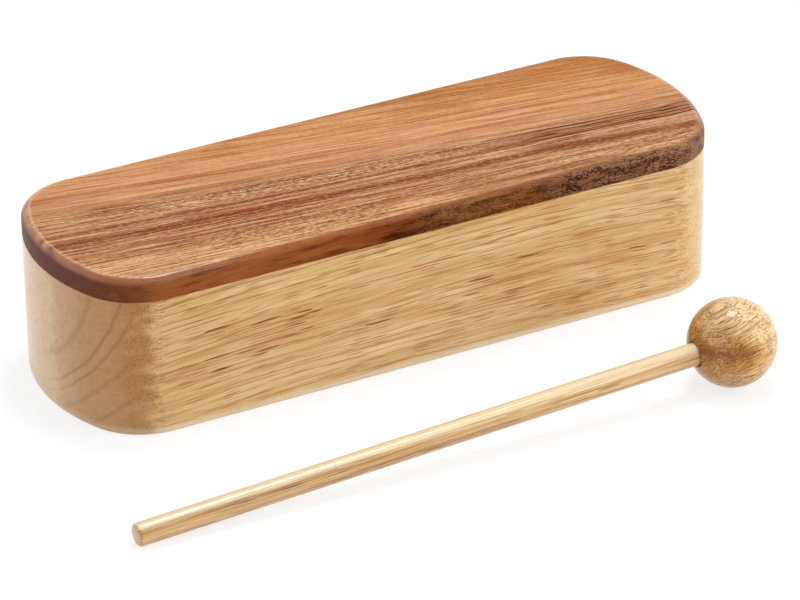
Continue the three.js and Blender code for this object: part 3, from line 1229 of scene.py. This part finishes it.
def top_ripples(wood, at, colour, busy):
    ripple = wood.noise(stretch(wood, at.curly, 1.9, 0.5), detail=1.0, roughness=0.6)
    dents = wood.times(wood.fade(ripple, 0.48, 0.36), wood.fade(busy, 0.0, 1.0, 0.16, 0.6))
    crests = wood.times(wood.fade(ripple, 0.52, 0.64), wood.fade(busy, 0.0, 1.0, 0.14, 0.5))
    colour = wood.over(colour, "6c4024", dents)
    return wood.over(colour, "e2b98e", crests)


print("the busy strip at the front is", BUSY_END - BUSY_START, "mm long")

# %% [markdown]
# On the right the middle of the plate has a row of thin dark lines that fade in from the middle of
# the length. They swing a little, all together, and are broken here and there. The rear corner of
# the right end is browner.

# %% Thin dark lines at the right
# Each line: its place across the grain, its half width and its strength
COMB = [(-2.4, 0.75, 0.9), (-4.8, 0.6, 1.0), (-7.0, 0.65, 1.0), (-9.3, 0.9, 1.0)]
COMB_START, COMB_FULL = 20.0, 75.0


def top_comb(wood, at, colour):
    start = wood.fade(at.x, COMB_START, COMB_FULL)
    swing = wood.noise(stretch(wood, shifted(wood, at.figure, 70.0), 26.0, 4.0), detail=3.0)
    swung = wood.plus(at.across, wood.fade(swing, 0.25, 0.75, -0.9, 0.9))
    gaps = wood.noise(stretch(wood, shifted(wood, at.figure, 50.0), 9.0, 0.7), detail=1.0)
    gaps = wood.fade(gaps, 0.3, 0.5, 0.5, 1.0)
    reddened = wood.times(start, wood.between(at.across, -9.5, -1.5, 1.0))
    colour = wood.over(colour, "a4643e", wood.times(reddened, 0.5))
    for place, half_width, strength in COMB:
        mask = wood.times(stripe(wood, swung, place, half_width), wood.times(start, strength))
        colour = wood.over(colour, "441904", wood.times(mask, gaps))
    return colour


def top_wood(wood, at, busy, dark, light):
    colour = top_lines(wood, at, top_ground(wood, at), dark, light)
    colour = top_ripples(wood, at, top_streaks(wood, at, colour), busy)
    colour = top_comb(wood, at, colour)
    far_corner = wood.times(
        wood.fade(at.x, 100.0, 110.0, 0.0, 0.6),
        wood.between(at.across, 32.0, 42.0, 5.0),
    )
    return wood.over(colour, "a45a28", far_corner)


print("the right side has", len(COMB), "thin dark lines")

# %% [markdown]
# The side of the plate is cut deeper into the board and shows another, browner layer. Its tone
# changes along the front, with dark clouds here and there. A churned noise bends the bands and the
# clouds, so that neither has an even edge.

# %% The side of the plate
SIDE_BANDS = [
    (-130.0, "75493a"),
    (-119.0, "70423a"),
    (-113.0, "743f2b"),
    (-106.0, "7e4623"),
    (-94.0, "98562c"),
    (-50.0, "965529"),
    (-28.0, "8d4b1f"),
    (-12.0, "7f3d1a"),
    (0.0, "86502a"),
    (10.0, "8b5a30"),
    (26.0, "96602f"),
    (40.0, "8f5028"),
    (48.0, "6e4228"),
    (88.0, "774c33"),
    (104.0, "9a7058"),
    (125.0, "8a6048"),
]
# Each dark cloud on the front: (along, up), (half length, half height) and strength
CLOUDS = [
    ((-33.0, 50.0), (6.0, 1.2), 0.45),
    ((-10.0, 50.0), (8.0, 1.8), 0.85),
    ((2.0, 54.2), (4.0, 1.3), 0.5),
    ((26.0, 54.8), (10.0, 1.0), 0.6),
    ((42.0, 53.4), (5.0, 1.4), 0.5),
    ((56.0, 50.2), (9.0, 1.6), 0.6),
    ((71.0, 50.0), (7.0, 1.2), 0.5),
    ((86.0, 52.4), (5.0, 1.6), 0.5),
]


def side_clouds(wood, warped, y, colour):
    for place, reach, strength in CLOUDS:
        step = wood.vector("SUBTRACT", warped, (place[0], 0, place[1]))
        step = wood.vector("MULTIPLY", step, (1 / reach[0], 0, 1 / reach[1]))
        cloud = wood.fade(wood.length(step), 1.2, 0.4, 0.0, strength)
        colour = wood.over(colour, "3c1404", wood.times(cloud, wood.fade(y, 0.0, -20.0)))
    return colour


def side_wood(wood, dark, light):
    x, y, z = wood.split(wood.place)
    churn = wood.noise(stretch(wood, wood.place, 20.0, 2.6), detail=4.0, roughness=0.6)
    along = wood.plus(x, wood.fade(churn, 0.2, 0.8, -4.0, 4.0))
    colour = wood.bands(along, SIDE_BANDS)
    blotchy = wood.fade(x, -98.0, -84.0, 0.15, 0.6)
    light_blotch = wood.times(wood.fade(churn, 0.52, 0.66), wood.times(blotchy, 0.6))
    colour = wood.over(colour, "b56c3c", light_blotch)
    knotty = wood.times(wood.between(x, -22.0, -2.0, 6.0), wood.fade(z, 53.0, 50.0, 0.0, 0.6))
    # Dark blotches in the wood, placed by noise at the left end and round the knotty part low in the middle
    dark_blotches = wood.times(wood.fade(churn, 0.5, 0.36), wood.plus(blotchy, knotty))
    colour = wood.over(colour, "4a1f0c", dark_blotches)
    warped = wood.join(along, y, wood.plus(z, wood.fade(churn, 0.3, 0.7, -1.2, 1.2)))
    colour = side_clouds(wood, warped, y, colour)
    colour = wood.over(colour, "54260f", wood.times(dark, 0.35))
    return wood.over(colour, "bb7a4a", wood.times(light, 0.3))


print("the side has", len(SIDE_BANDS), "bands and", len(CLOUDS), "dark clouds")

# %% [markdown]
# Where the round of the edge cuts down through the top layer, the side's layer appears. The line
# between them is the edge of a growth layer: about 1 mm down along the front, nearly twice as deep
# round the left end, and a little wavy. On the round itself the top layer is browner.

# %% From the top layer to the side
ROUND_TONES = [(0.0, "925024"), (60.0, "8a5a3a"), (104.0, "a8784e")]


def below_layer(wood, at):
    """How far the surface lies below the edge of the top layer, in mm."""
    over_front = wood.fade(at.px, 10.0, 55.0, 1.2, 0.8)
    dip = wood.times(wood.between(at.py, -9.0, -5.0, 3.0), 0.3)
    over_left = wood.minus(wood.fade(at.py, -4.0, -36.0, 1.6, 1.9), dip)
    layer = wood.math("MULTIPLY_ADD", wood.minus(over_left, over_front), at.left_end, over_front)
    wave = wood.noise(stretch(wood, wood.place, 12.0, 5.0), detail=1.0)
    wave = wood.fade(wave, 0.25, 0.75, -0.16, 0.16)
    wave = wood.times(wave, wood.fade(at.left_end, 0.0, 1.0, 1.0, 0.2))
    return wood.plus(wood.minus(at.depth, layer), wave)


def rounded_top(wood, at, top):
    on_left = wood.times(at.left_end, wood.fade(at.depth, 0.05, 1.4, 0.0, 0.7))
    top = wood.over(top, "9a6242", on_left)
    near_edge = wood.times(
        wood.fade(at.py, -34.5, -36.5),
        wood.between(at.px, 14.0, 78.0, 12.0),
    )
    top = wood.over(top, "94603a", wood.times(near_edge, 0.45))
    on_front = wood.times(wood.fade(at.py, -8.0, -24.0), wood.fade(at.depth, 0.0, 0.5, 0.0, 0.8))
    return wood.mix(on_front, top, wood.bands(at.px, ROUND_TONES))


print("the round has", len(ROUND_TONES), "tones along the front")

# %% [markdown]
# Right of the middle the side is curly: tight dark swirls on a paler ground, as wood has near a
# knot. A noise with a strongly bent grain gives them, dense at the right and thin further left.

# %% The curly patch
CURLY_START, CURLY_END = 46.0, 103.0


def swirls(wood):
    bent = wander(wood, wander(wood, wood.place, 14.0, 8.0, 2.0), 5.0, 2.5, 0.6)
    clusters = wood.noise(stretch(wood, shifted(wood, wood.place, 12.0), 7.0, 2.0), detail=1.0)
    clusters = wood.fade(clusters, 0.35, 0.65, -0.06, 0.06)
    fine_swirl = wood.noise(stretch(wood, bent, 1.5, 0.27))
    return wood.fade(wood.plus(fine_swirl, clusters), 0.55, 0.42)


def curly_patch(wood, at, colour, below, cut_deep):
    swirl = swirls(wood)
    dense = wood.times(wood.fade(below, -0.5, 0.4), wood.between(at.px, CURLY_START, CURLY_END, 9.0))
    dense = wood.times(dense, wood.fade(at.depth, 0.2, 0.7))
    thin = wood.times(cut_deep, wood.between(at.px, -6.0, CURLY_START, 5.0))
    pale_ground = wood.times(dense, wood.fade(swirl, 0.5, 0.0))
    colour = wood.over(colour, "a67a5a", wood.times(pale_ground, 0.5))
    swirl = wood.times(swirl, wood.larger(dense, wood.times(thin, 0.8)))
    return wood.over(colour, "2e1206", wood.times(swirl, 0.85)), swirl


print("the curly patch is", CURLY_END - CURLY_START, "mm long")

# %% [markdown]
# The plate's finish joins top and side, adds short open pores where the grain is busy, and a thin
# pale line along the arris, from the number that each point carries. That line is partly wear and
# partly a painted highlight, strongest at the front-left corner. Its varnish shines most on the
# rounded edge, and more at the left end than along the front.

# %% Plate finish
def plate_coat(wood, at):
    up = wood.split(wood.normal)[2]
    rounded = wood.times(wood.fade(up, 0.995, 0.975, 0.04, 1.0), wood.fade(up, 0.1, 0.7, 0.15, 1.0))
    glossy = wood.plus(
        wood.fade(at.px, -88.0, -52.0, 0.7, 0.12),
        wood.fade(at.px, 100.0, 108.0, 0.0, 0.4),
    )
    return wood.times(rounded, glossy)


def plate_wood():
    wood = Recipe("streaked_hardwood")
    at = plate_places(wood)
    busy = busy_places(wood, at)
    dark, light = (wood.times(lines, at.calm) for lines in fibre_lines(wood, at.figure, 26.0, 0.42))
    top = rounded_top(wood, at, top_wood(wood, at, busy, dark, light))
    below = below_layer(wood, at)
    cut_deep = wood.fade(below, -0.8, 0.8)
    colour = wood.mix(cut_deep, top, side_wood(wood, dark, light))

    dashes = pores(wood, at.curly, 3.4, 0.6, 0.36, wood.fade(busy, 0.1, 1.0, 0.06, 0.5))
    dashes = wood.times(dashes, wood.times(at.flat, wood.fade(busy, 0.0, 0.5, 0.3, 0.7)))
    colour = wood.over(colour, "623418", dashes)
    colour, swirl = curly_patch(wood, at, colour, below, cut_deep)
    line = wood.add("Attribute", attribute_name=ARRIS_LINE).outputs["Fac"]
    # Painted highlight and wear: a pale line along the arris, strongest at the front-left corner
    wear_and_painted_glint = wood.fade(at.px, -55.0, -95.0, 0.08, 0.5)
    colour = wood.over(colour, "f0c5a0", wood.times(line, wear_and_painted_glint))

    relief = pore_relief(wood, wood.larger(dashes, swirl), dark, 0.015)
    rough = wood.fade(light, 0.0, 1.0, 0.5, 0.42)
    coat = plate_coat(wood, at)
    return lacquer(wood, colour, relief, rough, coat, coat_rough=0.16, coat_ior=1.5, specular=0.02)


dress(plate, plate_wood())

# %% [markdown]
# ## Wood of the dowel
# The dowel is the same pale family as the body, split along its length, so it shows long thin
# brown streaks. Its upward side is painted pale, as painted light from the lamp above, and the streaks
# show mostly below, under the fullest coat of the four pieces. Its butt is end grain, a little pinker.
# The recipe gets the beater's pose, so the grain follows the tilted dowel.

# %% Dowel finish
DOWEL_TONES = [(0.3, "e2ba80"), (0.48, "d5a76a"), (0.58, "c5955a"), (0.68, "ac7c46")]


def shaft_wood():
    wood = Recipe("dowel_wood", beater_pose)
    grain = wander(wood, wood.place, 60.0, 8.0, 0.6)
    layers = wood.noise(stretch(wood, grain, 110.0, 1.6))
    colour = wood.bands(layers, DOWEL_TONES)
    facing_end, _, up = wood.split(wood.normal)
    # Painted light: the side that faces up is painted paler, for the lamp above
    painted_top_light = wood.plus(up, wood.fade(layers, 0.3, 0.7, 0.12, -0.12))
    painted_top_light = wood.fade(painted_top_light, 0.45, 0.8)
    colour = wood.over(colour, "fbe2b6", wood.times(painted_top_light, 0.85))
    # Streaks and pores show mostly away from the painted light on top
    below_painted_top_light = wood.fade(painted_top_light, 0.0, 1.0, 1.0, 0.3)
    dark, light = fibre_lines(wood, grain, 30.0, 0.45)
    colour = wood.over(colour, "a06e36", wood.times(wood.times(dark, 0.55), below_painted_top_light))
    colour = wood.over(colour, "f6dca8", wood.times(light, 0.4))
    growth = wood.times(growth_lines(wood, grain, (0, 0.6, 1), 1.6, 90.0, 0.15), below_painted_top_light)
    colour = wood.over(colour, "8c5a28", wood.times(growth, 0.6))
    fine = wood.times(pores(wood, grain, 16.0, 0.7, 0.34, 0.4), below_painted_top_light)
    colour = wood.over(colour, "74420f", wood.times(fine, 0.75))
    end = wood.fade(wood.math("ABSOLUTE", facing_end), 0.5, 0.9, 0.0, 0.6)
    colour = wood.over(colour, "cf9f7c", end)
    relief = pore_relief(wood, fine, dark, 0.015)
    rough = wood.fade(light, 0.0, 1.0, 0.36, 0.28)
    return lacquer(wood, colour, relief, rough, coat=1.0, coat_rough=0.13, coat_ior=1.45, specular=0.2)


dress(shaft, shaft_wood())

# %% [markdown]
# ## Wood of the ball
# The ball is turned from a browner piece, drilled nearly along its grain. So the side by the dowel
# is end grain, pinkish with dots, and the far side shows dashes that sweep round in arcs. Zones of
# tone follow the turned grain: amber by the dowel and straw on the far side, which is also painted
# paler for the light from the right. Painted light makes the upper side paler for the lamp above,
# and painted bounce makes the bottom paler for the white floor.

# %% Ground tones of the ball
BALL_GRAIN_TURN = radians(14)
# Tones along the turned grain; the pale far side is partly painted light from the right
BALL_ZONES_AND_PAINTED_LIGHT = [
    (-15.0, "b46818"),
    (-10.0, "bf7a30"),
    (-6.0, "c07e3e"),
    (-1.0, "bb7e2e"),
    (4.0, "e0ac60"),
    (9.0, "f2cd90"),
    (15.0, "f8dcaa"),
]


def ball_grain(wood):
    tilt = {"Vector": wood.place, "Angle": BALL_GRAIN_TURN, "Axis": (0, 1, 0.4)}
    tilted = wood.add("VectorRotate", tilt).outputs["Vector"]
    grain = wander(wood, tilted, 14.0, 9.0, 1.8)
    return wander(wood, grain, 4.0, 2.5, 0.35)


def ball_ground_and_painted_light(wood, grain):
    gx, _, gz = wood.split(grain)
    height = wood.split(wood.place)[2]
    # Painted light: the zones rise with height, so the upper side comes out paler
    colour = wood.bands(wood.math("MULTIPLY_ADD", gz, 0.25, gx), BALL_ZONES_AND_PAINTED_LIGHT)
    # Painted bounce from the floor: paler towards the bottom
    colour = wood.over(colour, "eebb76", wood.fade(height, 0.5, -4.5, 0.0, 0.6))
    # Painted light from the lamp above: paler towards the top
    colour = wood.over(colour, "fddda8", wood.fade(height, 7.0, 13.0, 0.0, 0.6))
    # Painted light: paler again on the upper far side
    painted_top_right_light = wood.times(wood.fade(gz, 5.0, 13.0, 0.0, 0.5), wood.fade(gx, -8.0, 4.0))
    colour = wood.over(colour, "f6d6a2", painted_top_right_light)
    cloud = wood.noise(stretch(wood, grain, 11.0, 3.2))
    colour = wood.over(colour, "9c5c1e", wood.fade(cloud, 0.5, 0.66, 0.0, 0.45))
    return wood.over(colour, "eec78a", wood.fade(cloud, 0.48, 0.34, 0.0, 0.5))


print("the ball has", len(BALL_ZONES_AND_PAINTED_LIGHT), "zones of tone")

# %% [markdown]
# Over these tones lie fibres, a brown belt just above the middle on the dowel's side, growth lines
# and the dashes of open pores. The ball has the clearest coat, and so the lamp above shows in it as
# one small bright spot.

# %% Ball finish
def ball_wood():
    wood = Recipe("amber_hardwood", beater_pose)
    grain = ball_grain(wood)
    dark, light = fibre_lines(wood, grain, 8.0, 0.5)
    colour = wood.over(ball_ground_and_painted_light(wood, grain), "945c28", wood.times(dark, 0.45))
    colour = wood.over(colour, "f2d298", wood.times(light, 0.5))
    px, _, pz = wood.split(wood.place)
    belt = wood.times(wood.between(pz, 2.0, 5.0, 2.0), wood.fade(px, 3.0, -3.0, 0.0, 0.55))
    colour = wood.over(colour, "743800", belt)
    growth = growth_lines(wood, grain, (0, 0.4, 1), 1.5, 20.0, 0.16)
    colour = wood.over(colour, "6e3806", wood.times(growth, 0.6))
    share = wood.fade(wood.split(grain)[0], -4.0, 9.0, 0.95, 0.7)
    dashes = pores(wood, grain, 4.6, 0.46, 0.37, share)
    colour = wood.over(colour, "5e2c02", wood.times(dashes, 0.75))
    relief = pore_relief(wood, dashes, dark, 0.01)
    rough = wood.fade(light, 0.0, 1.0, 0.4, 0.3)
    return lacquer(wood, colour, relief, rough, coat=0.85, coat_rough=0.09, coat_ior=1.37, specular=0.03)


dress(ball, ball_wood())

# %% [markdown]
# ## Joining looks and construction
# Each finished piece stands for one piece of the construction and moves with its body. A short table
# keeps the four answers side by side: the piece, the body it moves with, the piece it stands for and
# the wood of the record, which is only listed and not given to the piece.

# %% Ride and replace
DRESSING = [
    (body, "block", "resonator_body", "body_wood"),
    (plate, "block", "striking_plate", "plate_wood"),
    (shaft, "beater", "beater_shaft", "shaft_wood"),
    (ball, "beater", "beater_ball", "ball_wood"),
]
for piece, moves_with, stands_for, wood_slot in DRESSING:
    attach(piece, moves_with)
    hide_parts(stands_for)
    print(piece.name, "rides on", moves_with, "and stands for", stands_for)

# %% [markdown]
